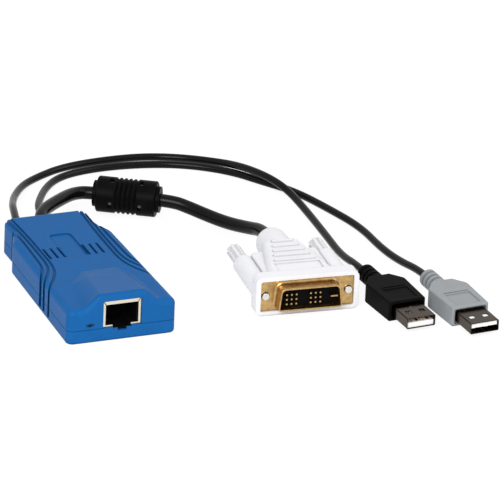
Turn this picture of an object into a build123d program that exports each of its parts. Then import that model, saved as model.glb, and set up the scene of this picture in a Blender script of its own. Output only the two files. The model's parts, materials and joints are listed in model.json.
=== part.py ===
from build123d import *
import math
import os

os.makedirs("parts", exist_ok=True)

# A dongle that turns a computer's video and USB ports into one network jack.
# Millimetres. The origin is the bottom centre of the blue body, X runs across it,
# the jack faces -Y, the three leads leave at +Y, and everything lies on z = 0.

# Body
body_length = 90.0
body_width = 43.8
rear_width = 34.0
flare_width = 40.6
flare_rear_y = 32.0
flare_front_y = 23.0
parting_height = 5.5
deck_height = 14.0
wall = 1.6
floor_thickness = 1.6
ceiling_thickness = 1.6
rear_corner_radius = 4.0
flare_radius = 7.0
edge_radius = 2.4
front_corner_radius = 2.8
floor_edge_radius = 1.0
parting_chamfer = 0.2
lip_height = 1.2
lip_thickness = 0.6
lip_clearance = 0.1
lip_length = 76.0
fit_clearance = 0.05
front_y = -body_length / 2
rear_y = body_length / 2
ceiling_height = deck_height - ceiling_thickness

# Circuit board and the screws that hold the covers together
board_underside = 2.6
board_thickness = 1.6
board_edge_gap = 0.4
board_rear_gap = 0.7
screw_places = [(0.0, 28.0), (0.0, -22.0)]
screw_shank_radius = 1.1
screw_head_radius = 2.2
screw_head_height = 1.1
screw_recess = 0.3
screw_recess_clearance = 0.3
screw_hole_clearance = 0.2
screw_length = 8.0
screw_pilot_spare = 0.4
screw_slot_length = 3.0
screw_slot_width = 0.7
screw_slot_depth = 0.5
boss_radius = 4.0
post_radius = 3.0
board_hole_clearance = 0.6
rest_radius = 1.5
rest_places = [(16.0, -30.0), (-16.0, -30.0), (12.0, 34.0), (-12.0, 34.0), (16.5, 5.0), (-16.5, 5.0)]
board_top = board_underside + board_thickness
screw_head_top = screw_recess + screw_head_height

# Network jack
jack_width = 15.4
jack_height = 12.2
jack_depth = 13.9
jack_recess = 0.8
shield_thickness = 0.3
shield_mouth_width = 13.2
shield_mouth_bottom = 6.3
shield_mouth_top = 14.7
shield_latch_width = 7.4
shield_slit = 0.3
plug_bay_width = 12.0
plug_bay_bottom = 6.2
plug_bay_top = 14.8
plug_bay_depth = 11.4
latch_bay_width = 6.4
latch_bay_bottom = 4.8
contact_count = 8
contact_pitch = 1.02
contact_width = 0.46
contact_thickness = 0.3
contact_drop = 2.6
contact_seat = 1.0
contact_set_back = 1.2
jack_notch_width = 7.4
jack_notch_depth = 0.4
latch_notch_width = 3.6
latch_notch_depth = 1.5
jack_front_y = front_y + jack_recess
jack_rear_y = jack_front_y + jack_depth
jack_top = board_top + jack_height

# Hump over the jack: base and crest half-widths at three stations along the body.
# Its ramp falls from the front, over the rear edge of the jack, to the deck.
jack_roof_front = 3.0
jack_roof_rear = 0.85
hump_root = 2.0
hump_base_left = 15.3
hump_base_right = 15.3
hump_crest_left = 9.6
hump_crest_right = 9.3
hump_middle_y = -21.0
hump_middle_base_left = 12.0
hump_middle_base_right = 13.0
hump_middle_crest_left = 5.6
hump_middle_crest_right = 9.6
hump_end_y = -11.2
hump_end_rise = 0.1
hump_end_base_left = 4.6
hump_end_base_right = 9.8
hump_end_crest_left = 3.4
hump_end_crest_right = 8.6
hump_foot_radius = 4.0
hump_crest_radius = 2.6
hump_crest_share = 0.5
hump_front_steps = 6
hump_height = jack_top + jack_roof_front
ramp_slope = (jack_roof_front - jack_roof_rear) / (jack_rear_y - front_y)
hump_middle_height = hump_height - ramp_slope * (hump_middle_y - front_y)
hump_end_height = deck_height + hump_end_rise

# Grooves on each shoulder, vent slots and the bare label recess
groove_width = 1.1
groove_depth = 0.6
groove_foot_height = 1.6
groove_overrun = 2.0
groove_bends = [
    [(14.3, rear_y + groove_overrun), (13.4, 24.0), (13.3, 6.0), (14.3, -7.7), (17.7, -16.0)],
    [(15.9, rear_y + groove_overrun), (15.0, 24.0), (15.0, 6.0), (16.1, -5.8), (18.7, -11.8)],
    [(17.0, 33.0), (16.9, 18.6), (17.3, 5.0), (18.3, -5.0), (20.0, -9.6)],
]
groove_exits = [-25.0, -20.0, -17.0]
deck_middle_x = -0.9
slot_width = 1.0
slot_length = 9.8
slot_y = 7.8
slot_pitch = 2.9
slot_first_x = 5.0
slots_per_side = 3
label_width = 8.8
label_front_y = 3.2
label_rear_y = 24.5
label_depth = 0.5
label_corner_radius = 2.2

# Status light
light_x = -12.9
light_height = 7.4
light_hole_radius = 0.75
light_pipe_recess = 0.9
light_dimple_width = 3.4
light_dimple_height = 1.3
light_dimple_depth = 0.5
light_block_width = 2.2
light_block_depth = 2.0
light_block_cover = 0.8
light_block_set_back = 2.0
led_width = 2.0
led_depth = 1.3
led_height = 0.8

# Board parts: width, depth and height, and the place on the board
video_chip_size = (14.0, 14.0, 1.4)
video_chip_place = (0.0, 3.0)
usb_chip_size = (7.0, 7.0, 1.0)
usb_chip_place = (-10.0, 19.0)
memory_chip_size = (8.0, 10.0, 1.1)
memory_chip_place = (10.0, 19.0)
chip_standoff = 0.1
chip_lead_width = 0.3
chip_lead_pitch = 0.9
chip_lead_reach = 0.8
chip_lead_thickness = 0.2
crystal_size = (3.2, 5.0, 1.3)
crystal_place = (-12.6, 3.0)
capacitor_size = (1.6, 0.9, 0.9)
capacitor_x = 13.0
capacitor_first_y = -17.0
capacitor_pitch = 3.0
capacitors_per_side = 4
inductor_size = (4.0, 4.0, 2.2)
inductor_place = (12.0, -25.0)
inductor_core_radius = 1.5

# Cable exits at the back
usb_cable_radius = 1.5
video_cable_radius = 2.6
exit_centre_x = 0.8
exit_pitch = 9.0
usb_exit_height = 7.2
video_exit_height = 8.0
gland_proud = 1.0
gland_flange_thickness = 1.2
gland_neck_wall = 1.0
gland_flange_overlap = 0.8
gland_edge_radius = 0.3
wire_radius = 0.4
wire_pitch = 1.0
usb_wires = 4
video_wires = 7
header_depth = 5.0
header_height = 6.2
header_gap = 3.4
usb_header_width = 5.2
video_header_width = 9.6
exit_y = rear_y + gland_proud

# Lead routes from the body towards the plugs
plug_straight = 8.0
arc_share = 0.45
black_lead_route = [
    (exit_centre_x - exit_pitch, exit_y, usb_exit_height), (-8.0, 53.0, 7.5), (-4.9, 65.8, 7.3),
    (-2.5, 73.6, 5.8), (2.5, 85.6, 3.6), (10.5, 98.0, 2.2), (20.3, 105.6, 1.6), (31.4, 111.2, 1.5),
    (47.0, 113.6, 1.5), (65.6, 113.1, 1.5), (80.7, 107.9, 1.5), (93.9, 95.6, 2.9), (98.7, 84.4, 5.0),
    (103.1, 73.2, 5.7), (106.4, 64.6, 5.1), (108.8, 57.6, 3.4), (109.8, 43.6, 1.8), (108.9, 21.4, 1.5),
    (107.3, 1.2, 1.8),
]
gray_lead_route = [
    (exit_centre_x + exit_pitch, exit_y, usb_exit_height), (9.3, 52.0, 6.4), (7.2, 58.5, 5.0),
    (6.3, 65.5, 4.3), (8.0, 73.0, 3.9), (11.4, 80.6, 3.2), (18.0, 92.6, 2.0), (25.5, 101.0, 1.6),
    (34.6, 105.3, 1.5), (48.5, 107.0, 1.5), (65.6, 105.2, 1.5), (81.2, 99.8, 1.5), (95.2, 89.2, 1.5),
    (103.8, 76.2, 1.5), (112.8, 63.6, 1.5), (119.8, 42.6, 1.5), (124.8, 24.0, 1.5), (125.2, 3.0, 1.5),
    (126.9, -11.0, 2.0),
]
video_route_near = [
    (exit_centre_x, exit_y, video_exit_height), (1.2, 51.4, 9.0), (4.4, 56.8, 9.4), (9.4, 61.6, 9.2),
    (14.9, 66.4, 8.7), (19.9, 70.7, 8.1), (24.2, 73.2, 7.5),
]
video_route_far = [(63.2, 51.8, 5.6), (68.7, 45.0, 4.3), (73.8, 36.8, 4.0), (78.6, 27.6, 5.4)]

# Clamp-on ferrite round the video lead
ferrite_place = (42.4, 65.5)
ferrite_heading = -30.5
ferrite_radius = 7.1
ferrite_length = 23.6
ferrite_collar_length = 1.5
ferrite_collar_radius = 5.2
ferrite_straight_near = 15.8
ferrite_straight_far = 17.6
ferrite_end_wall = 1.7
ferrite_bore_clearance = 0.15
ferrite_opening_angle = 32.0
ferrite_edge_radius = 0.4
core_radius = 5.5
core_bore_clearance = 0.3
core_clearance = 0.1
parting_gap = 0.1
rib_count = 5
rib_pitch = 1.9
rib_valley_width = 1.6
rib_depth = 0.7
window_length = 1.5
window_height = 2.6
window_offset = 5.9
window_angle = 45.0
ferrite_bore = video_cable_radius + ferrite_bore_clearance
core_length = ferrite_length - 2 * (ferrite_end_wall + core_clearance)

# Video plug, measured back from its flange
video_plug_place = (76.43, -40.81)
video_plug_yaw = -4.76
rim_width = 41.0
rim_height = 15.8
rim_depth = 5.0
rim_proud = 1.0
rim_corner_radius = 2.6
flange_width = 37.0
flange_height = 12.4
flange_thickness = 0.8
flange_corner_radius = 0.8
screw_spacing = 33.0
barrel_end = 30.0
knob_radius = 2.9
knob_length = 13.2
knob_gap = 0.1
knob_flute_count = 8
knob_flute_radius = 0.5
knob_collar = 2.2
knob_slot_width = 0.9
knob_slot_depth = 1.4
jackscrew_radius = 1.42
jackscrew_clearance = 0.06
jackscrew_grip = 8.0
jackscrew_proud = 0.8
flange_hole_radius = 1.7
shoulder_width = 27.0
shoulder_height = 8.6
shoulder_radius = 2.0
shoulder_end = 31.0
back_front_width = 28.0
back_rear_width = 15.4
back_end = 36.0
back_height = 13.0
back_corner_radius = 3.0
collar_front_radius = 7.0
collar_rear_radius = 6.2
collar_end = 51.5
dome_length = 4.0
dome_radius = 5.0
dome_end_radius = 3.6
grip_rib_count = 5
grip_rib_pitch = 4.3
grip_rib_first = 17.0
grip_rib_length = 1.5
grip_rib_height = 0.5
grip_rib_front_width = 16.4
grip_rib_rear_width = 8.4
panel_front = 6.6
panel_rear = 14.6
panel_width = 18.0
panel_depth = 0.4
shell_width = 25.4
shell_height = 9.2
shell_reach = 5.4
shell_wall = 0.5
shell_top_inset = 1.0
shell_top_radius = 2.2
shell_bottom_radius = 0.8
shell_flare = 1.0
insulator_face = 2.2
insulator_depth = 4.0
pin_size = 0.65
pin_reach = 4.9
pin_root = 2.0
pin_pitch = 1.905
pin_first_x = -9.4
pin_rows = 3
pin_columns = 3
pin_group_step = 5
blade_x = 9.5
blade_width = 2.8
blade_thickness = 0.6
video_plug_height = rim_height / 2
screw_x = screw_spacing / 2
barrel_radius = rim_width / 2 - screw_x
knob_front = barrel_end + knob_gap

# USB plugs, measured back from the tip of the shell
usb_plugs = {
    "black": {"tip": (111.85, -70.04), "yaw": 4.2, "tongue_side": -1, "spring_hole": True},
    "gray": {"tip": (133.4, -81.1), "yaw": 4.3, "tongue_side": 1, "spring_hole": False},
}
usb_shell_width = 12.0
usb_shell_height = 4.5
usb_shell_wall = 0.3
usb_shell_exposed = 12.0
usb_shell_hidden = 4.0
usb_shell_corner = 0.5
usb_hole_size = 2.3
usb_hole_spacing = 5.6
usb_hole_back = 5.4
usb_spring_hole_width = 1.8
usb_spring_hole_length = 0.9
usb_spring_hole_back = 9.6
tongue_thickness = 1.9
tongue_set_back = 0.6
tongue_reach = 10.6
tongue_side_gap = 0.2
usb_contact_width = 1.0
usb_contact_thickness = 0.2
usb_contact_set_back = 1.4
usb_contact_places = (-3.5, -1.0, 1.0, 3.5)
mould_width = 15.4
mould_rear_width = 16.8
mould_height = 8.0
mould_straight_end = 31.5
mould_neck_width = 8.8
mould_neck_start = 37.0
mould_shoulder_radius = 3.0
mould_pocket_width = 13.2
mould_pocket_height = 6.0
mould_pocket_depth = 1.0
mould_panel_width = 10.4
mould_panel_front = 14.0
mould_panel_rear = 25.4
mould_panel_depth = 0.3
mould_ridge_length = 0.8
mould_ridge_back = 24.0
mould_edge_radius = 0.7
relief_radius = 3.6
relief_end = 48.0
relief_groove_depth = 0.9
relief_groove_width = 1.2
relief_groove_first = 39.4
relief_groove_pitch = 2.9
relief_groove_count = 3
usb_plug_height = mould_height / 2


def plan_outline(height, inset=0.0):
    """Outline of the body seen from above, drawn in by inset."""
    right = [
        (rear_width / 2 - inset, rear_y - inset),
        (rear_width / 2 - inset, flare_rear_y),
        (flare_width / 2 - inset, flare_front_y),
        (body_width / 2 - inset, front_y + inset),
    ]
    left = [(-x, y) for x, y in reversed(right)]
    with BuildSketch(Plane.XY.offset(height)) as plan:
        with BuildLine():
            Polyline(*right, *left, close=True)
        make_face()
        fillet(plan.vertices().group_by(Axis.Y)[-1], rear_corner_radius - inset)
        fillet(plan.vertices().group_by(Axis.Y)[1] + plan.vertices().group_by(Axis.Y)[2], flare_radius)
        fillet(plan.vertices().group_by(Axis.Y)[0], front_corner_radius - inset)
    return plan.sketch


def hump_section(y, height, base_left, base_right, crest_left, crest_right, drop=0.0):
    """One cross-section of the hump, from inside the deck up to its crest, drawn in by drop."""
    side_slope = math.atan2(height - deck_height, base_left - crest_left)
    narrower = drop * math.tan(side_slope / 2)
    root = deck_height - hump_root - drop
    foot = deck_height - drop
    reach = hump_foot_radius / 2 + narrower
    base_left -= narrower
    base_right -= narrower
    points = [
        (-base_left - reach, root), (-base_left - reach, foot), (-base_left, foot),
        (-crest_left + narrower, height - drop), (crest_right - narrower, height - drop),
        (base_right, foot), (base_right + reach, foot), (base_right + reach, root),
    ]
    with BuildSketch(Plane.XZ.offset(-y)) as section:
        with BuildLine():
            Polyline(*points, close=True)
        make_face()
        across = section.vertices().sort_by(Axis.X)
        fillet([across[2], across[5]], hump_foot_radius)
        fillet(section.vertices().sort_by(Axis.Y)[-2:], hump_crest_radius - drop * hump_crest_share)
    return section.sketch


def hump_front_section(step):
    """Section of the hump near the front face, where its edge is rounded off in steps."""
    angle = math.radians(90 * step / hump_front_steps)
    y = front_y + edge_radius * (1 - math.cos(angle))
    share = (y - front_y) / (hump_middle_y - front_y)
    sizes = [
        front + share * (middle - front)
        for front, middle in [
            (hump_height, hump_middle_height),
            (hump_base_left, hump_middle_base_left),
            (hump_base_right, hump_middle_base_right),
            (hump_crest_left, hump_middle_crest_left),
            (hump_crest_right, hump_middle_crest_right),
        ]
    ]
    return hump_section(y, *sizes, drop=edge_radius * (1 - math.sin(angle)))


def deck_block(inset):
    """The body without its hump, drawn in by inset, for the grooves to stop on."""
    with BuildPart() as block:
        extrude(plan_outline(0.0, inset), amount=deck_height - inset)
        fillet(block.faces().sort_by(Axis.Z)[-1].edges(), edge_radius - inset)
    return block.part


def lip_rails(outer_inset, height):
    """Two rails on top of the side walls, from outer_inset to the inside of the wall."""
    with BuildPart() as rails:
        extrude(plan_outline(parting_height, outer_inset), amount=height)
        extrude(plan_outline(parting_height, wall), amount=height, mode=Mode.SUBTRACT)
        with Locations((0, 0, parting_height)):
            Box(2 * body_width, lip_length, 3 * height, mode=Mode.INTERSECT)
    return rails.part


def level_block(width, depth, low, high, place):
    """Upright block, given by the middle of its plan and its two heights."""
    with BuildPart() as block:
        with BuildSketch(Plane.XY.offset(low)):
            with Locations(place):
                Rectangle(width, depth)
        extrude(amount=high - low)
    return block.part


def pegs(places, radius, low, high):
    """Upright round pegs or holes at places, between two heights."""
    with BuildPart() as group:
        with BuildSketch(Plane.XY.offset(low)):
            with Locations(*places):
                Circle(radius)
        extrude(amount=high - low)
    return group.part


def facing(place, yaw, height):
    """Plane across a plug: its X runs across, its Y is up and its normal leaves the mouth."""
    turn = math.radians(yaw)
    across = (math.cos(turn), math.sin(turn), 0)
    return Plane(origin=(*place, height), x_dir=across, z_dir=(math.sin(turn), -math.cos(turn), 0))


def plan_of(place, yaw, height):
    """Level plane of a plug: its X runs across and its Y runs back along the lead."""
    turn = math.radians(yaw)
    return Plane(origin=(*place, height), x_dir=(math.cos(turn), math.sin(turn), 0), z_dir=(0, 0, 1))


def lead_tube(name, route, radius):
    """Round lead along straight runs that are joined by tangent arcs."""
    points = [Vector(*point) for point in route]
    bends = []
    for before, point, after in zip(points, points[1:], points[2:]):
        shorter_run = min((point - before).length, (after - point).length)
        half_turn = math.radians((point - before).get_angle(after - point)) / 2
        bends.append(arc_share * shorter_run / math.tan(half_turn))
    with BuildPart() as tube:
        with BuildLine() as path:
            FilletPolyline(*points, radius=bends)
        centre_line = path.wires()[0]
        with BuildSketch(Plane(origin=centre_line @ 0, z_dir=centre_line % 0)):
            Circle(radius)
        sweep(path=centre_line)
    expected = math.pi * radius**2 * centre_line.length
    print(name, "length", round(centre_line.length, 1), "bends", [round(bend, 1) for bend in bends])
    print(name, "volume", round(tube.part.volume, 1), "expected", round(expected, 1))
    return tube.part


def shell_block(plane, grown, start, end):
    """D-shaped block between two depths behind plane, grown by this much on every side."""
    with BuildPart() as block:
        with BuildSketch(plane.offset(-start)) as outline:
            with BuildLine():
                Polyline(
                    (-shell_width / 2, -shell_height / 2), (shell_width / 2, -shell_height / 2),
                    (shell_width / 2 - shell_top_inset, shell_height / 2),
                    (-shell_width / 2 + shell_top_inset, shell_height / 2),
                    close=True,
                )
            make_face()
            fillet(outline.vertices().group_by(Axis.Y)[-1], shell_top_radius)
            fillet(outline.vertices().group_by(Axis.Y)[0], shell_bottom_radius)
            if grown:
                offset(amount=grown, mode=Mode.REPLACE)
        extrude(amount=start - end)
    return block.part


# Glands by name: across, height and the cable's radius
glands = {
    "black_lead_gland": (exit_centre_x - exit_pitch, usb_exit_height, usb_cable_radius),
    "video_lead_gland": (exit_centre_x, video_exit_height, video_cable_radius),
    "gray_lead_gland": (exit_centre_x + exit_pitch, usb_exit_height, usb_cable_radius),
}
gland_inside_y = rear_y - wall - gland_flange_thickness

# Grooves that run along the shoulders, over the edge and down the sides
with BuildPart() as groove_cutter:
    with BuildSketch(Plane.XY.offset(groove_foot_height)):
        for bends, exit_end in zip(groove_bends, groove_exits):
            with BuildLine():
                Spline(*bends, (body_width / 2 + groove_overrun, exit_end))
            trace(line_width=groove_width)
        mirror(about=Plane.YZ)
    extrude(amount=deck_height)
    add(deck_block(groove_depth), mode=Mode.SUBTRACT)

# Round cuts through the rear wall for the glands
with BuildPart() as gland_cutter:
    for x, height, cable_radius in glands.values():
        with BuildSketch(Plane.XZ.offset(-rear_y - gland_proud)):
            with Locations((x, height)):
                Circle(cable_radius + gland_neck_wall + fit_clearance)
        extrude(amount=wall + 2 * gland_proud)

# Bottom cover: the floor, the board's supports and the lip that the top cover closes over
bay_width = jack_width + 2 * fit_clearance
with BuildPart() as bottom_cover:
    extrude(plan_outline(0.0), amount=parting_height)
    fillet(bottom_cover.faces().sort_by(Axis.Z)[0].edges(), floor_edge_radius)
    chamfer(bottom_cover.faces().sort_by(Axis.Z)[-1].edges(), parting_chamfer)
    extrude(plan_outline(floor_thickness, wall), amount=parting_height, mode=Mode.SUBTRACT)
    add(lip_rails(wall - lip_thickness, lip_height))
    add(pegs(rest_places, rest_radius, floor_thickness, board_underside))
    add(pegs(screw_places, boss_radius, floor_thickness, board_underside))
    add(pegs(screw_places, screw_head_radius + screw_recess_clearance, 0, screw_head_top), mode=Mode.SUBTRACT)
    add(pegs(screw_places, screw_shank_radius + screw_hole_clearance, 0, board_underside), mode=Mode.SUBTRACT)
    jack_pocket_y = jack_front_y - fit_clearance + wall / 2
    add(level_block(bay_width, wall, board_top - fit_clearance, jack_top, (0, jack_pocket_y)), mode=Mode.SUBTRACT)
    for notch_width, notch_depth in [(jack_notch_width, jack_notch_depth), (latch_notch_width, latch_notch_depth)]:
        add(level_block(notch_width, 2 * wall, parting_height - notch_depth, deck_height, (0, front_y)),
            mode=Mode.SUBTRACT)
    add(gland_cutter.part, mode=Mode.SUBTRACT)
    add(groove_cutter.part, mode=Mode.SUBTRACT)
bottom_cover.part.label = "bottom_cover"
export_step(bottom_cover.part, "parts/bottom_cover.step")

# Top cover: shoulders, the hump over the jack, grooves, vents and the screw posts
with BuildPart() as top_cover:
    extrude(plan_outline(parting_height), amount=deck_height - parting_height)
    fillet(top_cover.faces().sort_by(Axis.Z)[-1].edges(), edge_radius)
    loft(
        [
            *[hump_front_section(step) for step in range(hump_front_steps + 1)],
            hump_section(hump_middle_y, hump_middle_height, hump_middle_base_left,
                         hump_middle_base_right, hump_middle_crest_left, hump_middle_crest_right),
            hump_section(hump_end_y, hump_end_height, hump_end_base_left, hump_end_base_right,
                         hump_end_crest_left, hump_end_crest_right),
        ],
        ruled=True,
    )
    chamfer(top_cover.faces().sort_by(Axis.Z)[0].edges(), parting_chamfer)
    extrude(plan_outline(parting_height, wall), amount=ceiling_height - parting_height, mode=Mode.SUBTRACT)
    add(lip_rails(wall - lip_thickness - lip_clearance, lip_height + lip_clearance), mode=Mode.SUBTRACT)
    add(pegs(screw_places, post_radius, board_top, ceiling_height))
    pilot_top = screw_head_top + screw_length + screw_pilot_spare
    add(pegs(screw_places, screw_shank_radius, board_top, pilot_top), mode=Mode.SUBTRACT)
    bay_ends = (front_y - wall, jack_rear_y + fit_clearance)
    add(level_block(bay_width, bay_ends[1] - bay_ends[0], parting_height, jack_top + fit_clearance,
                    (0, sum(bay_ends) / 2)), mode=Mode.SUBTRACT)
    with BuildSketch(Plane.XZ.offset(-front_y)):
        with Locations((light_x, light_height)):
            Ellipse(light_dimple_width / 2, light_dimple_height / 2)
    extrude(amount=-light_dimple_depth, mode=Mode.SUBTRACT)
    with BuildSketch(Plane.XZ.offset(-front_y)):
        with Locations((light_x, light_height)):
            Circle(light_hole_radius)
    extrude(amount=-wall, mode=Mode.SUBTRACT)
    with BuildSketch(Plane.XY.offset(deck_height)):
        for side in (-1, 1):
            for index in range(slots_per_side):
                with Locations((deck_middle_x + side * (slot_first_x + index * slot_pitch), slot_y)):
                    SlotOverall(slot_length, slot_width, rotation=90)
    extrude(amount=-2 * ceiling_thickness, mode=Mode.SUBTRACT)
    with BuildSketch(Plane.XY.offset(deck_height)) as label_outline:
        with Locations((deck_middle_x, (label_front_y + label_rear_y) / 2)):
            Rectangle(label_width, label_rear_y - label_front_y)
        fillet(label_outline.vertices().group_by(Axis.Y)[-1], label_corner_radius)
    extrude(amount=-label_depth, mode=Mode.SUBTRACT)
    add(gland_cutter.part, mode=Mode.SUBTRACT)
    add(groove_cutter.part, mode=Mode.SUBTRACT)
top_cover.part.label = "top_cover"
export_step(top_cover.part, "parts/top_cover.step")

# Housing screws, driven up through the floor and the board into the posts
with BuildPart() as housing_screws:
    add(pegs(screw_places, screw_head_radius, screw_recess, screw_head_top))
    add(pegs(screw_places, screw_shank_radius, screw_recess, screw_head_top + screw_length))
    for place in screw_places:
        for slot_size in [(screw_slot_length, screw_slot_width), (screw_slot_width, screw_slot_length)]:
            add(level_block(*slot_size, 0, screw_recess + screw_slot_depth, place), mode=Mode.SUBTRACT)
housing_screws.part.label = "housing_screws"
export_step(housing_screws.part, "parts/housing_screws.step")

# Circuit board
with BuildPart() as circuit_board:
    extrude(plan_outline(board_underside, wall + board_edge_gap), amount=board_thickness)
    split(bisect_by=Plane.XZ.offset(board_rear_gap - gland_inside_y), keep=Keep.TOP)
    add(pegs(screw_places, screw_shank_radius + board_hole_clearance, board_underside, board_top),
        mode=Mode.SUBTRACT)
circuit_board.part.label = "circuit_board"
export_step(circuit_board.part, "parts/circuit_board.step")

# Jack shield: a folded tin box, open underneath, with mitred flaps round its mouth
jack_middle = (0, (jack_front_y + jack_rear_y) / 2)
shield_inner_width = jack_width - 2 * shield_thickness
with BuildPart() as jack_shield:
    add(level_block(jack_width, jack_depth, board_top, jack_top, jack_middle))
    add(level_block(shield_inner_width, jack_depth - 2 * shield_thickness, board_top,
                    jack_top - shield_thickness, jack_middle), mode=Mode.SUBTRACT)
    with BuildSketch(Plane.XZ.offset(-jack_front_y)):
        with Locations((0, (shield_mouth_bottom + shield_mouth_top) / 2)):
            Rectangle(shield_mouth_width, shield_mouth_top - shield_mouth_bottom)
        with Locations((0, (board_top + shield_mouth_top) / 2)):
            Rectangle(shield_latch_width, shield_mouth_top - board_top)
        for side in (-1, 1):
            with BuildLine():
                Line(
                    (side * (shield_mouth_width / 2 - shield_slit), shield_mouth_top - shield_slit),
                    (side * shield_inner_width / 2, jack_top - shield_thickness),
                )
            trace(line_width=shield_slit)
    extrude(amount=-shield_thickness, mode=Mode.SUBTRACT)
jack_shield.part.label = "jack_shield"
export_step(jack_shield.part, "parts/jack_shield.step")

# Jack insulator: the block inside the shield, with the plug's bay and its latch channel
insulator_front_y = jack_front_y + shield_thickness + fit_clearance
insulator_rear_y = jack_rear_y - shield_thickness - fit_clearance
bay_rear_y = insulator_front_y + plug_bay_depth
with BuildPart() as jack_insulator:
    add(level_block(shield_inner_width - 2 * fit_clearance, insulator_rear_y - insulator_front_y, board_top,
                    jack_top - shield_thickness - fit_clearance, jack_middle))
    with BuildSketch(Plane.XZ.offset(-insulator_front_y)):
        with Locations((0, (plug_bay_bottom + plug_bay_top) / 2)):
            Rectangle(plug_bay_width, plug_bay_top - plug_bay_bottom)
        with Locations((0, (latch_bay_bottom + plug_bay_top) / 2)):
            Rectangle(latch_bay_width, plug_bay_top - latch_bay_bottom)
    extrude(amount=-plug_bay_depth, mode=Mode.SUBTRACT)
jack_insulator.part.label = "jack_insulator"
export_step(jack_insulator.part, "parts/jack_insulator.step")

# Jack contacts: eight springs that slope down from the bay's ceiling to its rear wall
contact_front_y = insulator_front_y + contact_set_back
with BuildPart() as jack_contacts:
    for index in range(contact_count):
        contact_x = (index - (contact_count - 1) / 2) * contact_pitch
        with BuildSketch(Plane.YZ.offset(contact_x - contact_width / 2)):
            with BuildLine():
                Polyline(
                    (contact_front_y, plug_bay_top),
                    (contact_front_y + contact_seat, plug_bay_top),
                    (bay_rear_y, plug_bay_top - contact_drop),
                    (bay_rear_y, plug_bay_top - contact_drop - contact_thickness),
                    (contact_front_y + contact_seat, plug_bay_top - contact_thickness),
                    (contact_front_y, plug_bay_top - contact_thickness),
                    close=True,
                )
            make_face()
        extrude(amount=contact_width)
jack_contacts.part.label = "jack_contacts"
export_step(jack_contacts.part, "parts/jack_contacts.step")

# Status light: the LED on the board and the clear pipe that leads its light to the front
light_block_y = front_y + wall + light_block_set_back
light_middle = (light_x, light_block_y + light_block_depth / 2)
led_top = board_top + led_height
with BuildPart() as status_led:
    add(level_block(led_width, led_depth, board_top, led_top, light_middle))
status_led.part.label = "status_led"
export_step(status_led.part, "parts/status_led.step")

with BuildPart() as light_pipe:
    add(level_block(light_block_width, light_block_depth, led_top, light_height + light_block_cover, light_middle))
    with BuildSketch(Plane.XZ.offset(-front_y - light_pipe_recess)):
        with Locations((light_x, light_height)):
            Circle(light_hole_radius - fit_clearance)
    extrude(amount=front_y + light_pipe_recess - light_block_y)
light_pipe.part.label = "light_pipe"
export_step(light_pipe.part, "parts/light_pipe.step")

# Chips with their leads
chips = {
    "video_chip": (video_chip_size, video_chip_place),
    "usb_chip": (usb_chip_size, usb_chip_place),
    "memory_chip": (memory_chip_size, memory_chip_place),
}
for chip_name, (size, place) in chips.items():
    width, depth, height = size
    lead_count = int(depth / chip_lead_pitch) - 1
    with BuildPart() as chip:
        add(level_block(width, depth, board_top + chip_standoff, board_top + chip_standoff + height, place))
        with BuildSketch(Plane.XY.offset(board_top)):
            with Locations(place):
                with GridLocations(0, chip_lead_pitch, 1, lead_count):
                    Rectangle(width + 2 * chip_lead_reach, chip_lead_width)
        extrude(amount=chip_lead_thickness)
    chip.part.label = chip_name
    export_step(chip.part, f"parts/{chip_name}.step")

# Crystal, capacitors and inductors
with BuildPart() as crystal:
    add(level_block(crystal_size[0], crystal_size[1], board_top, board_top + crystal_size[2], crystal_place))
crystal.part.label = "crystal"
export_step(crystal.part, "parts/crystal.step")

with BuildPart() as capacitors:
    for side in (-1, 1):
        for index in range(capacitors_per_side):
            place = (side * capacitor_x, capacitor_first_y + index * capacitor_pitch)
            add(level_block(capacitor_size[0], capacitor_size[1], board_top, board_top + capacitor_size[2], place))
capacitors.part.label = "capacitors"
export_step(capacitors.part, "parts/capacitors.step")

with BuildPart() as inductors:
    for side in (-1, 1):
        place = (side * inductor_place[0], inductor_place[1])
        add(level_block(inductor_size[0], inductor_size[1], board_top, board_top + inductor_size[2] / 2, place))
        add(pegs([place], inductor_core_radius, board_top, board_top + inductor_size[2]))
inductors.part.label = "inductors"
export_step(inductors.part, "parts/inductors.step")

# Headers where the leads' wires end, and the wires between them and the glands
header_rear_y = gland_inside_y - header_gap
header_y = header_rear_y - header_depth / 2
header_top = board_top + header_height
with BuildPart() as video_header:
    add(level_block(video_header_width, header_depth, board_top, header_top, (exit_centre_x, header_y)))
video_header.part.label = "video_header"
export_step(video_header.part, "parts/video_header.step")

with BuildPart() as usb_headers:
    for side in (-1, 1):
        place = (exit_centre_x + side * exit_pitch, header_y)
        add(level_block(usb_header_width, header_depth, board_top, header_top, place))
usb_headers.part.label = "usb_headers"
export_step(usb_headers.part, "parts/usb_headers.step")

with BuildPart() as header_wires:
    for (x, height, _), wires in zip(glands.values(), [usb_wires, video_wires, usb_wires]):
        with BuildSketch(Plane.XZ.offset(-gland_inside_y)):
            with Locations((x, height)):
                with GridLocations(wire_pitch, 0, wires, 1):
                    Circle(wire_radius)
        extrude(amount=header_gap)
header_wires.part.label = "header_wires"
export_step(header_wires.part, "parts/header_wires.step")

# Glands: a flange inside the rear wall and a neck through it
for gland_name, (x, height, cable_radius) in glands.items():
    neck_radius = cable_radius + gland_neck_wall
    with BuildPart() as gland:
        with BuildSketch(Plane.XZ.offset(-gland_inside_y)):
            with Locations((x, height)):
                Circle(neck_radius + gland_flange_overlap)
        extrude(amount=-gland_flange_thickness)
        with BuildSketch(Plane.XZ.offset(-gland_inside_y)):
            with Locations((x, height)):
                Circle(neck_radius)
        extrude(amount=gland_inside_y - exit_y)
        fillet(gland.faces().sort_by(Axis.Y)[-1].edges(), gland_edge_radius)
    gland.part.label = gland_name
    export_step(gland.part, f"parts/{gland_name}.step")

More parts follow.
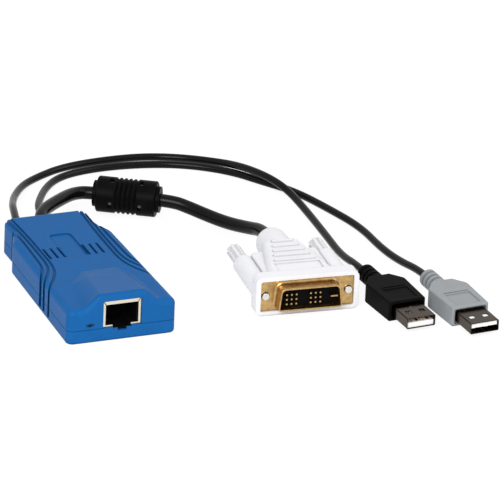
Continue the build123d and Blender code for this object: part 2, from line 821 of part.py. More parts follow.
# Leads: the video lead goes straight through the ferrite
video_level = plan_of(video_plug_place, video_plug_yaw, video_plug_height)
video_face = facing(video_plug_place, video_plug_yaw, video_plug_height)
ferrite_turn = math.radians(ferrite_heading)
ferrite_axis = Vector(math.cos(ferrite_turn), math.sin(ferrite_turn), 0)
ferrite_centre = Vector(*ferrite_place, ferrite_radius)
video_lead_route = [
    *video_route_near,
    tuple(ferrite_centre - ferrite_axis * ferrite_straight_near),
    tuple(ferrite_centre + ferrite_axis * ferrite_straight_far),
    *video_route_far,
    tuple(video_level.from_local_coords(Vector(0, collar_end + plug_straight, 0))),
    tuple(video_level.from_local_coords(Vector(0, collar_end, 0))),
]
with BuildPart() as video_lead:
    add(lead_tube("video_lead", video_lead_route, video_cable_radius))
video_lead.part.label = "video_lead"
export_step(video_lead.part, "parts/video_lead.step")

for colour, route in (("black", black_lead_route), ("gray", gray_lead_route)):
    level = plan_of(usb_plugs[colour]["tip"], usb_plugs[colour]["yaw"], usb_plug_height)
    plug_end = [
        tuple(level.from_local_coords(Vector(0, relief_end + plug_straight, 0))),
        tuple(level.from_local_coords(Vector(0, relief_end, 0))),
    ]
    with BuildPart() as usb_lead:
        add(lead_tube(f"{colour}_plug_lead", [*route, *plug_end], usb_cable_radius))
    usb_lead.part.label = f"{colour}_plug_lead"
    export_step(usb_lead.part, f"parts/{colour}_plug_lead.step")

# Ferrite: a hinged plastic case and the two half-cores inside it.
# X of this plane is the cable, its Y points at the hinge and its normal at the opening half.
opening = math.radians(ferrite_opening_angle)
ferrite_plane = Plane(
    origin=ferrite_centre,
    x_dir=ferrite_axis,
    z_dir=(
        math.cos(opening) * math.sin(ferrite_turn),
        -math.cos(opening) * math.cos(ferrite_turn),
        math.sin(opening),
    ),
)


def turned_about_cable(outline, bore, length):
    """Solid turned about the cable, from (along, radius) points, with a bore right through."""
    with BuildPart() as ring:
        with BuildSketch(ferrite_plane):
            with BuildLine():
                Polyline((-length / 2, bore), *outline, (length / 2, bore), close=True)
            make_face()
        revolve(axis=Axis(ferrite_centre, ferrite_axis))
    return ring.part


def case_outline():
    """Outside of the ferrite case: collars, plain ends and the ribbed grip between them."""
    half = ferrite_length / 2
    end = half + ferrite_collar_length
    outline = [
        (-end, ferrite_collar_radius), (-half, ferrite_collar_radius),
        (-half, ferrite_radius - ferrite_edge_radius), (-half + ferrite_edge_radius, ferrite_radius),
    ]
    for index in range(rib_count):
        valley = (index - (rib_count - 1) / 2) * rib_pitch
        outline.append((valley - rib_valley_width / 2, ferrite_radius))
        outline.append((valley, ferrite_radius - rib_depth))
        outline.append((valley + rib_valley_width / 2, ferrite_radius))
    outline += [
        (half - ferrite_edge_radius, ferrite_radius), (half, ferrite_radius - ferrite_edge_radius),
        (half, ferrite_collar_radius), (end, ferrite_collar_radius),
    ]
    return outline


case_inside = core_radius + core_clearance
room_length = core_length + 2 * core_clearance
with BuildPart() as ferrite_case:
    add(turned_about_cable(case_outline(), ferrite_bore, ferrite_length + 2 * ferrite_collar_length))
    add(turned_about_cable([(-room_length / 2, case_inside), (room_length / 2, case_inside)],
                           video_cable_radius, room_length), mode=Mode.SUBTRACT)
    for turn in (-window_angle, window_angle):
        tilt = math.radians(turn)
        outward = ferrite_plane.z_dir * math.cos(tilt) + ferrite_plane.y_dir * math.sin(tilt)
        window_plane = Plane(origin=ferrite_centre, x_dir=ferrite_axis, z_dir=outward)
        with BuildSketch(window_plane.offset(core_radius)):
            with Locations((-window_offset, 0), (window_offset, 0)):
                Rectangle(window_length, window_height)
        extrude(amount=ferrite_radius, mode=Mode.SUBTRACT)

with BuildPart() as ferrite_core:
    add(turned_about_cable([(-core_length / 2, core_radius), (core_length / 2, core_radius)],
                           video_cable_radius + core_bore_clearance, core_length))

ferrite_halves = {"front": (parting_gap / 2, Keep.TOP), "rear": (-parting_gap / 2, Keep.BOTTOM)}
for half_name, (offset_from_parting, kept) in ferrite_halves.items():
    for piece_name, whole in (("case", ferrite_case), ("core", ferrite_core)):
        with BuildPart() as ferrite_half:
            add(whole.part)
            split(bisect_by=ferrite_plane.offset(offset_from_parting), keep=kept)
        ferrite_half.part.label = f"ferrite_{piece_name}_{half_name}"
        export_step(ferrite_half.part, f"parts/ferrite_{piece_name}_{half_name}.step")

# Video plug body: the rim, its shoulders with a barrel for each thumbscrew, and the collar
with BuildPart() as video_plug_body:
    with BuildSketch(video_face.offset(rim_proud)):
        RectangleRounded(rim_width, rim_height, rim_corner_radius)
    extrude(amount=-(rim_proud + rim_depth))
    with BuildSketch(video_face.offset(-rim_depth)):
        RectangleRounded(back_front_width, back_height, back_corner_radius)
    with BuildSketch(video_face.offset(-back_end)):
        RectangleRounded(back_rear_width, back_height, back_corner_radius)
    loft()
    with BuildSketch(video_face.offset(-rim_depth)):
        RectangleRounded(shoulder_width, shoulder_height, shoulder_radius)
    extrude(amount=-(shoulder_end - rim_depth))
    with BuildSketch(video_face.offset(-rim_depth)):
        with Locations((-screw_x, 0), (screw_x, 0)):
            Circle(barrel_radius)
    extrude(amount=-(barrel_end - rim_depth))
    with BuildSketch(video_level):
        with BuildLine():
            Polyline(
                (0, collar_end), (0, back_end - grip_rib_length),
                (collar_front_radius, back_end - grip_rib_length), (collar_front_radius, back_end),
                (collar_rear_radius, collar_end - dome_length),
            )
            RadiusArc((collar_rear_radius, collar_end - dome_length), (dome_end_radius, collar_end), -dome_radius)
            Line((dome_end_radius, collar_end), (0, collar_end))
        make_face()
    revolve(axis=Axis(video_level.origin, video_level.y_dir))
    for index in range(grip_rib_count):
        share = index / (grip_rib_count - 1)
        rib_width = grip_rib_front_width + share * (grip_rib_rear_width - grip_rib_front_width)
        with BuildSketch(video_level):
            with Locations((0, grip_rib_first + index * grip_rib_pitch)):
                Rectangle(rib_width, grip_rib_length)
        extrude(amount=back_height / 2 + grip_rib_height, both=True)
    with BuildSketch(video_level.offset(back_height / 2 - panel_depth)):
        with Locations((0, (panel_front + panel_rear) / 2)):
            Rectangle(panel_width, panel_rear - panel_front)
    extrude(amount=back_height, mode=Mode.SUBTRACT)
    with BuildSketch(video_face.offset(rim_proud)):
        RectangleRounded(flange_width + 2 * fit_clearance, flange_height + 2 * fit_clearance,
                         flange_corner_radius)
    extrude(amount=-(rim_proud + flange_thickness), mode=Mode.SUBTRACT)
    add(shell_block(video_face, -shell_wall + fit_clearance, -flange_thickness, insulator_depth + fit_clearance),
        mode=Mode.SUBTRACT)
    with BuildSketch(video_face):
        with Locations((-screw_x, 0), (screw_x, 0)):
            Circle(jackscrew_radius + jackscrew_clearance)
    extrude(amount=-barrel_end, mode=Mode.SUBTRACT)
video_plug_body.part.label = "video_plug_body"
export_step(video_plug_body.part, "parts/video_plug_body.step")

# Video plug shell: a plated flange with the D-shaped shroud drawn out of it
with BuildPart() as video_plug_shell:
    with BuildSketch(video_face):
        RectangleRounded(flange_width, flange_height, flange_corner_radius)
    extrude(amount=-flange_thickness)
    add(shell_block(video_face, 0, 0, -shell_reach))
    flange_front = video_plug_shell.faces().filter_by_position(
        Axis(video_face.origin, video_face.z_dir), -fit_clearance, fit_clearance
    )[0]
    fillet(flange_front.inner_wires()[0].edges(), shell_flare)
    add(shell_block(video_face, -shell_wall, flange_thickness, -shell_reach), mode=Mode.SUBTRACT)
    with BuildSketch(video_face):
        with Locations((-screw_x, 0), (screw_x, 0)):
            Circle(flange_hole_radius)
    extrude(amount=-flange_thickness, mode=Mode.SUBTRACT)
video_plug_shell.part.label = "video_plug_shell"
export_step(video_plug_shell.part, "parts/video_plug_shell.step")

# Pins and ground blade, which stand in matching holes of the insulator
with BuildPart() as video_plug_pins:
    with BuildSketch(video_face.offset(pin_reach)):
        for group in range(2):
            for column in range(pin_columns):
                for row in range(pin_rows):
                    pin_x = pin_first_x + (group * pin_group_step + column) * pin_pitch
                    with Locations((pin_x, (row - (pin_rows - 1) / 2) * pin_pitch)):
                        Rectangle(pin_size, pin_size)
    extrude(amount=-(pin_reach - insulator_face + pin_root))
video_plug_pins.part.label = "video_plug_pins"
export_step(video_plug_pins.part, "parts/video_plug_pins.step")

with BuildPart() as video_plug_blade:
    with BuildSketch(video_face.offset(pin_reach)):
        with Locations((blade_x, 0)):
            Rectangle(blade_width, blade_thickness)
    extrude(amount=-(pin_reach - insulator_face + pin_root))
video_plug_blade.part.label = "video_plug_blade"
export_step(video_plug_blade.part, "parts/video_plug_blade.step")

with BuildPart() as video_plug_insulator:
    add(shell_block(video_face, -shell_wall, insulator_depth, -insulator_face))
    add(video_plug_pins.part, mode=Mode.SUBTRACT)
    add(video_plug_blade.part, mode=Mode.SUBTRACT)
video_plug_insulator.part.label = "video_plug_insulator"
export_step(video_plug_insulator.part, "parts/video_plug_insulator.step")

# Thumbscrews: a fluted knob moulded on a steel rod that runs through the barrel
for side_name, side in (("left", -1), ("right", 1)):
    with BuildPart() as thumbscrew_rod:
        with BuildSketch(video_face.offset(jackscrew_proud)):
            with Locations((side * screw_x, 0)):
                Circle(jackscrew_radius)
        extrude(amount=-(jackscrew_proud + knob_front + jackscrew_grip))
    thumbscrew_rod.part.label = f"thumbscrew_rod_{side_name}"
    export_step(thumbscrew_rod.part, f"parts/thumbscrew_rod_{side_name}.step")

    with BuildPart() as thumbscrew_knob:
        with BuildSketch(video_face.offset(-knob_front)):
            with Locations((side * screw_x, 0)):
                Circle(knob_radius)
        extrude(amount=-knob_length)
        with BuildSketch(video_face.offset(-knob_front - knob_collar)):
            with Locations((side * screw_x, 0)):
                with PolarLocations(knob_radius, knob_flute_count):
                    Circle(knob_flute_radius)
        extrude(amount=-knob_length, mode=Mode.SUBTRACT)
        with BuildSketch(video_face.offset(-knob_front - knob_length)):
            with Locations((side * screw_x, 0)):
                Rectangle(3 * knob_radius, knob_slot_width)
        extrude(amount=knob_slot_depth, mode=Mode.SUBTRACT)
        with BuildSketch(video_face.offset(-knob_front)):
            with Locations((side * screw_x, 0)):
                Circle(jackscrew_radius)
        extrude(amount=-jackscrew_grip, mode=Mode.SUBTRACT)
    thumbscrew_knob.part.label = f"thumbscrew_knob_{side_name}"
    export_step(thumbscrew_knob.part, f"parts/thumbscrew_knob_{side_name}.step")

# USB plugs: a moulded grip with a ribbed relief, the steel shell, its tongue and contacts
mould_start = usb_shell_exposed
shell_end = usb_shell_exposed + usb_shell_hidden
shell_inner_width = usb_shell_width - 2 * usb_shell_wall
shell_inner_height = usb_shell_height - 2 * usb_shell_wall
for colour, plug in usb_plugs.items():
    face = facing(plug["tip"], plug["yaw"], usb_plug_height)
    level = plan_of(plug["tip"], plug["yaw"], usb_plug_height)
    side = plug["tongue_side"]

    with BuildPart() as plug_body:
        with BuildSketch(level) as plug_plan:
            with BuildLine():
                Polyline(
                    (-mould_width / 2, mould_start), (mould_width / 2, mould_start),
                    (mould_rear_width / 2, mould_straight_end), (mould_neck_width / 2, mould_neck_start),
                    (-mould_neck_width / 2, mould_neck_start), (-mould_rear_width / 2, mould_straight_end),
                    close=True,
                )
            make_face()
            fillet(plug_plan.vertices().group_by(Axis.Y)[1], mould_shoulder_radius)
        extrude(amount=mould_height / 2, both=True)
        fillet(plug_body.edges(), mould_edge_radius)
        with BuildSketch(level):
            with BuildLine():
                relief_line = [(0, relief_end), (0, mould_neck_start - relief_radius),
                               (relief_radius, mould_neck_start - relief_radius)]
                for index in range(relief_groove_count):
                    groove_start = relief_groove_first + index * relief_groove_pitch
                    groove_end = groove_start + relief_groove_width
                    relief_line += [
                        (relief_radius, groove_start), (relief_radius - relief_groove_depth, groove_start),
                        (relief_radius - relief_groove_depth, groove_end), (relief_radius, groove_end),
                    ]
                Polyline(*relief_line, (relief_radius, relief_end), close=True)
            make_face()
        revolve(axis=Axis(level.origin, level.y_dir))
        with BuildSketch(face.offset(-mould_start)):
            RectangleRounded(mould_pocket_width, mould_pocket_height, mould_edge_radius)
        extrude(amount=-mould_pocket_depth, mode=Mode.SUBTRACT)
        with BuildSketch(face.offset(-mould_start)):
            RectangleRounded(usb_shell_width, usb_shell_height, usb_shell_corner)
        extrude(amount=-usb_shell_hidden, mode=Mode.SUBTRACT)
        with BuildSketch(level.offset(mould_height / 2 - mould_panel_depth)):
            with Locations((0, (mould_panel_front + mould_panel_rear) / 2)):
                RectangleRounded(mould_panel_width, mould_panel_rear - mould_panel_front, mould_edge_radius)
            with Locations((0, mould_ridge_back)):
                Rectangle(mould_panel_width, mould_ridge_length, mode=Mode.SUBTRACT)
        extrude(amount=mould_height, mode=Mode.SUBTRACT)
    plug_body.part.label = f"{colour}_plug_body"
    export_step(plug_body.part, f"parts/{colour}_plug_body.step")

    with BuildPart() as plug_shell:
        with BuildSketch(face):
            RectangleRounded(usb_shell_width, usb_shell_height, usb_shell_corner)
            RectangleRounded(shell_inner_width, shell_inner_height, usb_shell_corner - usb_shell_wall,
                             mode=Mode.SUBTRACT)
        extrude(amount=-shell_end)
        with BuildSketch(level):
            with Locations((-usb_hole_spacing / 2, usb_hole_back), (usb_hole_spacing / 2, usb_hole_back)):
                Rectangle(usb_hole_size, usb_hole_size)
            if plug["spring_hole"]:
                with Locations((0, usb_spring_hole_back)):
                    Rectangle(usb_spring_hole_width, usb_spring_hole_length)
        extrude(amount=usb_shell_height, both=True, mode=Mode.SUBTRACT)
    plug_shell.part.label = f"{colour}_plug_shell"
    export_step(plug_shell.part, f"parts/{colour}_plug_shell.step")

    tongue_y = side * (shell_inner_height - tongue_thickness) / 2
    with BuildPart() as plug_tongue:
        with BuildSketch(face.offset(-tongue_set_back)):
            with Locations((0, tongue_y)):
                Rectangle(shell_inner_width - 2 * tongue_side_gap, tongue_thickness)
        extrude(amount=tongue_set_back - shell_end)
        with BuildSketch(face.offset(-tongue_reach)):
            RectangleRounded(shell_inner_width, shell_inner_height, usb_shell_corner - usb_shell_wall)
        extrude(amount=tongue_reach - shell_end)
    plug_tongue.part.label = f"{colour}_plug_tongue"
    export_step(plug_tongue.part, f"parts/{colour}_plug_tongue.step")

    contact_y = tongue_y - side * (tongue_thickness + usb_contact_thickness) / 2
    with BuildPart() as plug_contacts:
        with BuildSketch(face.offset(-usb_contact_set_back)):
            for contact_x in usb_contact_places:
                with Locations((contact_x, contact_y)):
                    Rectangle(usb_contact_width, usb_contact_thickness)
        extrude(amount=usb_contact_set_back - tongue_reach)
    plug_contacts.part.label = f"{colour}_plug_contacts"
    export_step(plug_contacts.part, f"parts/{colour}_plug_contacts.step")
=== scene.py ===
import json
import math

import bpy
from mathutils import Matrix, Quaternion, Vector


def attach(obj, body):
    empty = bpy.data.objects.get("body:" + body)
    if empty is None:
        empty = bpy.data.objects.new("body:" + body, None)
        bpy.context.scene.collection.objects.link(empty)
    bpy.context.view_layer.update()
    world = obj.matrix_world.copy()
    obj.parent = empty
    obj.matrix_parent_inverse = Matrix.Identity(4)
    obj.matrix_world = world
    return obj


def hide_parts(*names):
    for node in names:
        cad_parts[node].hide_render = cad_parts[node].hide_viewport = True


# A dongle with a network jack, a clamp-on ferrite, a video plug and two USB plugs.
# Metres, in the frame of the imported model: the jack faces -Y and the leads leave at +Y.

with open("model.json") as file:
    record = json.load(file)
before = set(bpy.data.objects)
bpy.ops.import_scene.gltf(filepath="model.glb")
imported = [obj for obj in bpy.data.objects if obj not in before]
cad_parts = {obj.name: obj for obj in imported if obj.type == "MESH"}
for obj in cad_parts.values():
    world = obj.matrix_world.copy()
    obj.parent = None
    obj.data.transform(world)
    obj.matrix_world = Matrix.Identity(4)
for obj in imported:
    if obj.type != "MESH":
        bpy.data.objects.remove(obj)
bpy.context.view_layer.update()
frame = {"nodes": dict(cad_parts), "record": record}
MM = 0.001

# Camera: a long lens, a little to the left of the jack and well above it
CAMERA_TARGET = (76.377, 18.639, 0.0)
CAMERA_AZIMUTH = -22.05
CAMERA_ELEVATION = 24.119
CAMERA_ROLL = 2.451
CAMERA_DISTANCE = 2724.34
CAMERA_LENS = 504.0
CAMERA_SENSOR = 36.0
CAMERA_CLIP = (0.1, 30.0)

# Cords: diameters and lengths in millimetres
VIDEO_DIAMETER = 5.2
USB_DIAMETER = 3.0
VIDEO_LENGTH = 129.4
BLACK_LENGTH = 270.2
GRAY_LENGTH = 265.7

# Routes of the three cords in millimetres, from the body to the plugs
VIDEO_ROUTE = [
    (0.8, 46.0, 8.0), (1.2, 51.4, 9.0), (4.4, 56.8, 9.4), (9.4, 61.6, 9.2), (14.9, 66.4, 8.7),
    (19.9, 70.7, 8.1), (24.2, 73.2, 7.5), (28.79, 73.52, 7.1), (57.56, 56.57, 7.1),
    (63.2, 51.8, 5.6), (68.7, 45.0, 4.3), (73.8, 36.8, 4.0), (78.6, 27.6, 5.4),
    (81.37, 18.48, 7.9), (80.70, 10.51, 7.9),
]
BLACK_ROUTE = [
    (-8.2, 46.0, 7.2), (-8.0, 53.0, 7.5), (-4.9, 65.8, 7.3), (-2.5, 73.6, 5.8), (2.5, 85.6, 3.6),
    (10.5, 98.0, 2.2), (20.3, 105.6, 1.6), (31.4, 111.2, 1.5), (47.0, 113.6, 1.5),
    (65.6, 113.1, 1.5), (80.7, 107.9, 1.5), (93.9, 95.6, 2.9), (98.7, 84.4, 5.0),
    (103.1, 73.2, 5.7), (106.4, 64.6, 5.1), (108.8, 57.6, 3.4), (109.8, 43.6, 1.8),
    (108.9, 21.4, 1.5), (107.3, 1.2, 1.8), (107.75, -14.19, 4.0), (108.33, -22.17, 4.0),
]
GRAY_ROUTE = [
    (9.8, 46.0, 7.2), (9.3, 52.0, 6.4), (7.2, 58.5, 5.0), (6.3, 65.5, 4.3), (8.0, 73.0, 3.9),
    (11.4, 80.6, 3.2), (18.0, 92.6, 2.0), (25.5, 101.0, 1.6), (34.6, 105.3, 1.5),
    (48.5, 107.0, 1.5), (65.6, 105.2, 1.5), (81.2, 99.8, 1.5), (95.2, 89.2, 1.5),
    (103.8, 76.2, 1.5), (112.8, 63.6, 1.5), (119.8, 42.6, 1.5), (124.8, 24.0, 1.5),
    (125.2, 3.0, 1.5), (126.9, -11.0, 2.0), (129.2, -25.26, 4.0), (129.8, -33.24, 4.0),
]

# Colours as they show on screen, 0 to 255
BLUE = (22, 85, 144)
WHITE = (217, 217, 220)
PLUG_BLACK = (13, 12, 12)
JACKET_BLACK = (10, 10, 10)
PLUG_GRAY = (137, 141, 144)
GOLD = (190, 156, 104)
TIN = (226, 216, 198)
STEEL = (176, 170, 164)
# The plug shells' steel is darkened to brown: a painted reflection of dark surroundings
SHELL_STEEL_WITH_PAINTED_REFLECTION = (60, 49, 39)

# Surfaces: how noise, the painted shade in hollows and soft edges show
NOISE_DETAIL = 3.0
NOISE_RANGE = (0.3, 0.7)
GLOSS_SPREAD = 0.12
GRAIN_STRENGTH = 0.6
EDGE_SAMPLES = 6
# Painted shade in creases and hollows: occlusion samples, the range that is read, and how dark it
# paints the colour
CREASE_SAMPLES = 8
CREASE_RANGE = (0.35, 0.95)
CREASE_SHADE_SHARE = 0.58

# Cord meshes: steps along each span, and round the section
CORD_STEPS = 16
CORD_ROUND_STEPS = 8

# Stage: a floor 12 m across, and light at a plain level
FLOOR_REACH = 6.0
FLOOR_DARKER = (0.88, 0.88, 0.88, 1.0)
FLOOR_LIGHTER = (0.9, 0.9, 0.9, 1.0)
FLOOR_PATCHES = 3.0
FLOOR_ROUGHNESS = 0.9
FLOOR_GLOW = 1.05
FLOOR_GLOW_SHARE = 0.84
WORLD_WHITE = (1.0, 1.0, 1.0, 1.0)
WORLD_FILL = 0.7
WORLD_SEEN = 1.0


def linear(colour, share=1.0):
    """A screen colour as Blender's linear colour, made lighter or darker by share."""
    values = []
    for part in colour:
        part = part / 255
        value = part / 12.92 if part <= 0.04045 else ((part + 0.055) / 1.055) ** 2.4
        values.append(min(1.0, value * share))
    return (*values, 1.0)


def new_material(name):
    """An empty material with its shader and output joined."""
    material = bpy.data.materials.new(name)
    material.use_nodes = True
    shader = material.node_tree.nodes["Principled BSDF"]
    return material, material.node_tree.nodes, material.node_tree.links, shader


def noise(nodes, links, scale, stretch=(1.0, 1.0, 1.0)):
    """Noise over the object's own coordinates. Scale is in patches per metre."""
    place = nodes.new("ShaderNodeTexCoord")
    mapping = nodes.new("ShaderNodeMapping")
    mapping.inputs["Scale"].default_value = stretch
    texture = nodes.new("ShaderNodeTexNoise")
    texture.inputs["Scale"].default_value = scale
    texture.inputs["Detail"].default_value = NOISE_DETAIL
    links.new(place.outputs["Object"], mapping.inputs["Vector"])
    links.new(mapping.outputs["Vector"], texture.inputs["Vector"])
    return texture.outputs["Fac"]


def remap(nodes, links, value, low, high, source=NOISE_RANGE):
    """A value spread from its source range to between low and high."""
    node = nodes.new("ShaderNodeMapRange")
    node.inputs["From Min"].default_value = source[0]
    node.inputs["From Max"].default_value = source[1]
    node.inputs["To Min"].default_value = low
    node.inputs["To Max"].default_value = high
    links.new(value, node.inputs["Value"])
    return node.outputs["Result"]


def blend_colour(nodes, links, value, first, second):
    """A colour between first and second, each a colour or a socket, picked by value."""
    node = nodes.new("ShaderNodeMix")
    node.data_type = "RGBA"
    for socket, colour in (("A", first), ("B", second)):
        if isinstance(colour, bpy.types.NodeSocket):
            links.new(colour, node.inputs[socket])
        else:
            node.inputs[socket].default_value = colour
    links.new(value, node.inputs["Factor"])
    return node.outputs["Result"]


def surface(name, colour, roughness, metallic=0.0, spread=0.06, mottle=90.0, grain=2600.0,
            grain_depth=0.00001, edge=0.00015, stretch=(1.0, 1.0, 1.0), specular=0.5,
            crease_shade=0.0):
    """A moulded, plated or rubber surface: mottled colour, uneven gloss, fine grain, soft edges.

    Mottle and grain are in patches per metre. Grain_depth, the edge's radius and the reach of
    the painted shade that darkens the colour around hollows and creases, are in metres.
    """
    material, nodes, links, shader = new_material(name)
    patches = noise(nodes, links, mottle, stretch=stretch)
    picked = remap(nodes, links, patches, 0.0, 1.0)
    darker = linear(colour, 1 - spread)
    lighter = linear(colour, 1 + spread)
    tone = blend_colour(nodes, links, picked, darker, lighter)
    # Painted shade: an occlusion node darkens the colour in hollows and creases
    if crease_shade:
        shade_in_hollows = nodes.new("ShaderNodeAmbientOcclusion")
        shade_in_hollows.samples = CREASE_SAMPLES
        shade_in_hollows.inputs["Distance"].default_value = crease_shade
        openness = remap(nodes, links, shade_in_hollows.outputs["AO"], 0.0, 1.0, CREASE_RANGE)
        tone = blend_colour(nodes, links, openness, linear(colour, CREASE_SHADE_SHARE), tone)
    links.new(tone, shader.inputs["Base Color"])
    gloss = remap(nodes, links, patches, roughness * (1 - GLOSS_SPREAD),
                  min(1.0, roughness * (1 + GLOSS_SPREAD)))
    links.new(gloss, shader.inputs["Roughness"])
    shader.inputs["Metallic"].default_value = metallic
    shader.inputs["Specular IOR Level"].default_value = specular
    bump = nodes.new("ShaderNodeBump")
    bump.inputs["Distance"].default_value = grain_depth
    bump.inputs["Strength"].default_value = GRAIN_STRENGTH
    links.new(noise(nodes, links, grain, stretch=stretch), bump.inputs["Height"])
    if edge:
        rounded = nodes.new("ShaderNodeBevel")
        rounded.samples = EDGE_SAMPLES
        rounded.inputs["Radius"].default_value = edge
        links.new(rounded.outputs["Normal"], bump.inputs["Normal"])
    links.new(bump.outputs["Normal"], shader.inputs["Normal"])
    return material


# The camera looks at its target from the azimuth and elevation above
azimuth = math.radians(CAMERA_AZIMUTH)
elevation = math.radians(CAMERA_ELEVATION)
towards_camera = Vector((
    math.sin(azimuth) * math.cos(elevation),
    -math.cos(azimuth) * math.cos(elevation),
    math.sin(elevation),
))
camera_data = bpy.data.cameras.new("camera")
camera_data.lens = CAMERA_LENS
camera_data.sensor_width = CAMERA_SENSOR
camera_data.clip_start, camera_data.clip_end = CAMERA_CLIP
camera = bpy.data.objects.new("camera", camera_data)
bpy.context.scene.collection.objects.link(camera)
place = (Vector(CAMERA_TARGET) + towards_camera * CAMERA_DISTANCE) * MM
roll = Quaternion((0, 0, 1), math.radians(CAMERA_ROLL))
turn = (-towards_camera).to_track_quat("-Z", "Y") @ roll
camera.matrix_world = Matrix.Translation(place) @ turn.to_matrix().to_4x4()
bpy.context.scene.camera = camera


def cord_curve(name, route, diameter):
    """A round cord on one smooth spline whose control points are the route's points."""
    curve = bpy.data.curves.new(name, "CURVE")
    curve.dimensions = "3D"
    curve.resolution_u = CORD_STEPS
    curve.bevel_depth = diameter / 2 * MM
    curve.bevel_resolution = CORD_ROUND_STEPS
    curve.use_fill_caps = True
    spline = curve.splines.new("NURBS")
    spline.points.add(len(route) - 1)
    for point, (x, y, z) in zip(spline.points, route):
        point.co = (x * MM, y * MM, z * MM, 1.0)
    spline.order_u = 3
    spline.use_endpoint_u = True
    cord = bpy.data.objects.new(name, curve)
    bpy.context.scene.collection.objects.link(cord)
    return cord


# Cords: each replaces the solid of its lead, which is hidden; each entry also lists the pieces on
# the cord and at its ends
jacket = surface("lead_jacket", JACKET_BLACK, 0.2, spread=0.3, mottle=60.0, grain=1500.0,
                 grain_depth=0.00004, edge=0.0, specular=0.12)
usb_pieces = ("plug_body", "plug_shell", "plug_tongue", "plug_contacts")
cords = [
    ("video_cord", VIDEO_ROUTE, VIDEO_DIAMETER, VIDEO_LENGTH, "video_lead",
     ["video_lead_gland", "ferrite_case_front", "ferrite_case_rear", "ferrite_core_front",
      "ferrite_core_rear", "video_plug_body", "video_plug_shell", "video_plug_insulator",
      "video_plug_pins", "video_plug_blade", "thumbscrew_knob_left", "thumbscrew_knob_right",
      "thumbscrew_rod_left", "thumbscrew_rod_right"]),
    ("black_cord", BLACK_ROUTE, USB_DIAMETER, BLACK_LENGTH, "black_plug_lead",
     ["black_lead_gland", *[f"black_{piece}" for piece in usb_pieces]]),
    ("gray_cord", GRAY_ROUTE, USB_DIAMETER, GRAY_LENGTH, "gray_plug_lead",
     ["gray_lead_gland", *[f"gray_{piece}" for piece in usb_pieces]]),
]
for name, route, diameter, length, node, with_pieces in cords:
    cord = cord_curve(name, route, diameter)
    cord.data.materials.append(jacket)
    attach(cord, "root")
    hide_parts(node)

# Materials of the CAD pieces, by the record's slots; the blue, white and gray plastics get
# painted shade in their creases
slot_surfaces = {
    "blue_plastic": surface("blue_plastic", BLUE, 0.34, spread=0.04, mottle=140.0, grain=5200.0,
                            grain_depth=0.000012, edge=0.0005, specular=0.03, crease_shade=0.0014),
    "screw_steel": surface("screw_steel", STEEL, 0.32, metallic=1.0),
    "board_green": surface("board_green", (22, 92, 48), 0.4, spread=0.12),
    "tinplate": surface("tinplate", TIN, 0.2, metallic=1.0, spread=0.05, mottle=300.0,
                        grain=900.0, edge=0.00012),
    "black_insulator": surface("black_insulator", (8, 8, 8), 0.5, spread=0.2, specular=0.05),
    "gold_contact": surface("gold_contact", GOLD, 0.22, metallic=1.0, spread=0.08),
    "light_clear": surface("light_clear", (26, 28, 30), 0.12, spread=0.1),
    "led_body": surface("led_body", (206, 204, 188), 0.3),
    "chip_black": surface("chip_black", (28, 28, 30), 0.5, spread=0.15),
    "crystal_can": surface("crystal_can", STEEL, 0.25, metallic=1.0),
    "capacitor_ceramic": surface("capacitor_ceramic", (158, 130, 96), 0.55, spread=0.15),
    "inductor_ferrite": surface("inductor_ferrite", (52, 52, 54), 0.6, spread=0.2),
    "header_cream": surface("header_cream", (226, 218, 194), 0.45),
    "wire_jacket": surface("wire_jacket", (168, 44, 38), 0.4),
    "gland_rubber": surface("gland_rubber", (24, 24, 25), 0.5, spread=0.2),
    "lead_jacket": jacket,
    "ferrite_plastic": surface("ferrite_plastic", (11, 11, 12), 0.36, spread=0.25, mottle=220.0,
                               grain=3000.0, grain_depth=0.00002, edge=0.00022, specular=0.02),
    "ferrite_ceramic": surface("ferrite_ceramic", (112, 112, 114), 0.4, spread=0.12,
                               grain=6000.0),
    "white_plastic": surface("white_plastic", WHITE, 0.42, spread=0.015, mottle=120.0,
                             grain=5200.0, edge=0.0003, specular=0.3, crease_shade=0.0012),
    "gold_shell": surface("gold_shell", GOLD, 0.3, metallic=1.0, spread=0.22, mottle=520.0,
                          grain=3600.0, grain_depth=0.00004, edge=0.00025),
    "rod_steel": surface("rod_steel", (225, 222, 216), 0.24, metallic=1.0),
    "plug_black": surface("plug_black", PLUG_BLACK, 0.42, spread=0.25, mottle=200.0, grain=3800.0,
                          grain_depth=0.00002, edge=0.0003, specular=0.015),
    "plug_gray": surface("plug_gray", PLUG_GRAY, 0.44, spread=0.05, mottle=200.0, grain=3800.0,
                         grain_depth=0.000015, edge=0.00035, specular=0.15, crease_shade=0.0012),
    # The plug shells: steel whose colour holds a painted dark reflection
    "plug_steel": surface("plug_steel", SHELL_STEEL_WITH_PAINTED_REFLECTION, 0.2, metallic=1.0, spread=0.12,
                          mottle=260.0, grain=1400.0, edge=0.0001, stretch=(1.0, 0.15, 1.0)),
    "tongue_white": surface("tongue_white", (232, 232, 230), 0.4, spread=0.02),
}
slot_of = {entry["node"]: entry["material_slot"] for entry in frame["record"]["subparts"]}
for node_name, node in frame["nodes"].items():
    material = slot_surfaces[slot_of[node_name]]
    if node.material_slots:
        for material_slot in node.material_slots:
            material_slot.material = material
    else:
        node.data.materials.append(material)


def seen_rays(nodes, links, rays):
    """One for rays that show the surroundings: straight, in a reflection or through glass."""
    value = rays.outputs["Is Camera Ray"]
    for kind in ("Is Glossy Ray", "Is Transmission Ray"):
        either = nodes.new("ShaderNodeMath")
        either.operation = "MAXIMUM"
        links.new(value, either.inputs[0])
        links.new(rays.outputs[kind], either.inputs[1])
        value = either.outputs["Value"]
    return value


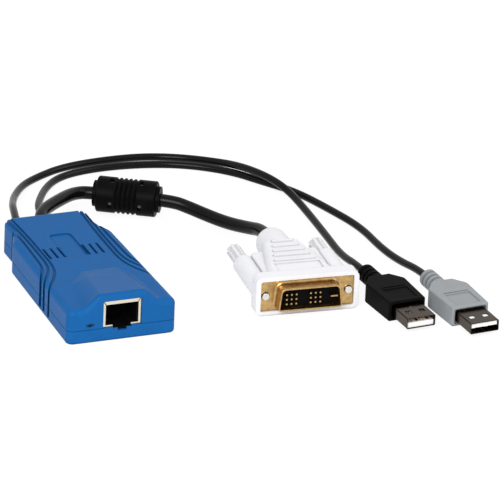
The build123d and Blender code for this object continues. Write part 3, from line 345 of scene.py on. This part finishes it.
# Floor: pale, with the object's soft shadow, and near white for the rays that show it
floor_mesh = bpy.data.meshes.new("floor")
corners = [(x * FLOOR_REACH, y * FLOOR_REACH, 0) for x, y in ((-1, -1), (1, -1), (1, 1), (-1, 1))]
floor_mesh.from_pydata(corners, [], [(0, 1, 2, 3)])
floor = bpy.data.objects.new("floor", floor_mesh)
bpy.context.scene.collection.objects.link(floor)
floor_material, floor_nodes, floor_links, floor_shader = new_material("floor")
floor_shader.inputs["Roughness"].default_value = FLOOR_ROUGHNESS
floor_shader.inputs["Specular IOR Level"].default_value = 0.0
floor_patches = noise(floor_nodes, floor_links, FLOOR_PATCHES)
floor_tone = blend_colour(floor_nodes, floor_links, floor_patches, FLOOR_DARKER, FLOOR_LIGHTER)
floor_links.new(floor_tone, floor_shader.inputs["Base Color"])
glow = floor_nodes.new("ShaderNodeEmission")
glow.inputs["Strength"].default_value = FLOOR_GLOW
rays = floor_nodes.new("ShaderNodeLightPath")
share = floor_nodes.new("ShaderNodeMath")
share.operation = "MULTIPLY"
share.inputs[1].default_value = FLOOR_GLOW_SHARE
mix = floor_nodes.new("ShaderNodeMixShader")
floor_links.new(seen_rays(floor_nodes, floor_links, rays), share.inputs[0])
floor_links.new(share.outputs["Value"], mix.inputs["Fac"])
floor_links.new(floor_shader.outputs["BSDF"], mix.inputs[1])
floor_links.new(glow.outputs["Emission"], mix.inputs[2])
floor_links.new(mix.outputs["Shader"], floor_nodes["Material Output"].inputs["Surface"])
floor_mesh.materials.append(floor_material)

# World: white behind the object, and a plain fill of light
world = bpy.data.worlds.new("world")
bpy.context.scene.world = world
world.use_nodes = True
world_nodes = world.node_tree.nodes
world_links = world.node_tree.links
fill = world_nodes["Background"]
fill.inputs["Color"].default_value = WORLD_WHITE
fill.inputs["Strength"].default_value = WORLD_FILL
backdrop = world_nodes.new("ShaderNodeBackground")
backdrop.inputs["Color"].default_value = WORLD_WHITE
backdrop.inputs["Strength"].default_value = WORLD_SEEN
world_rays = world_nodes.new("ShaderNodeLightPath")
world_mix = world_nodes.new("ShaderNodeMixShader")
world_links.new(seen_rays(world_nodes, world_links, world_rays), world_mix.inputs["Fac"])
world_links.new(fill.outputs["Background"], world_mix.inputs[1])
world_links.new(backdrop.outputs["Background"], world_mix.inputs[2])
world_links.new(world_mix.outputs["Shader"], world_nodes["World Output"].inputs["Surface"])


def softbox(name, at, towards, size, power):
    """A square soft light that faces a point."""
    light = bpy.data.lights.new(name, "AREA")
    light.size = size
    light.energy = power
    lamp = bpy.data.objects.new(name, light)
    bpy.context.scene.collection.objects.link(lamp)
    facing = (Vector(towards) - Vector(at)).to_track_quat("-Z", "Y")
    lamp.matrix_world = Matrix.Translation(at) @ facing.to_matrix().to_4x4()


softbox("key", at=(-0.6, -0.9, 0.8), towards=(0.04, 0.02, 0.0), size=0.7, power=15.0)
softbox("fill", at=(1.1, -0.5, 0.8), towards=(0.06, 0.02, 0.0), size=0.9, power=6.0)

bpy.context.scene.view_settings.view_transform = "Standard"
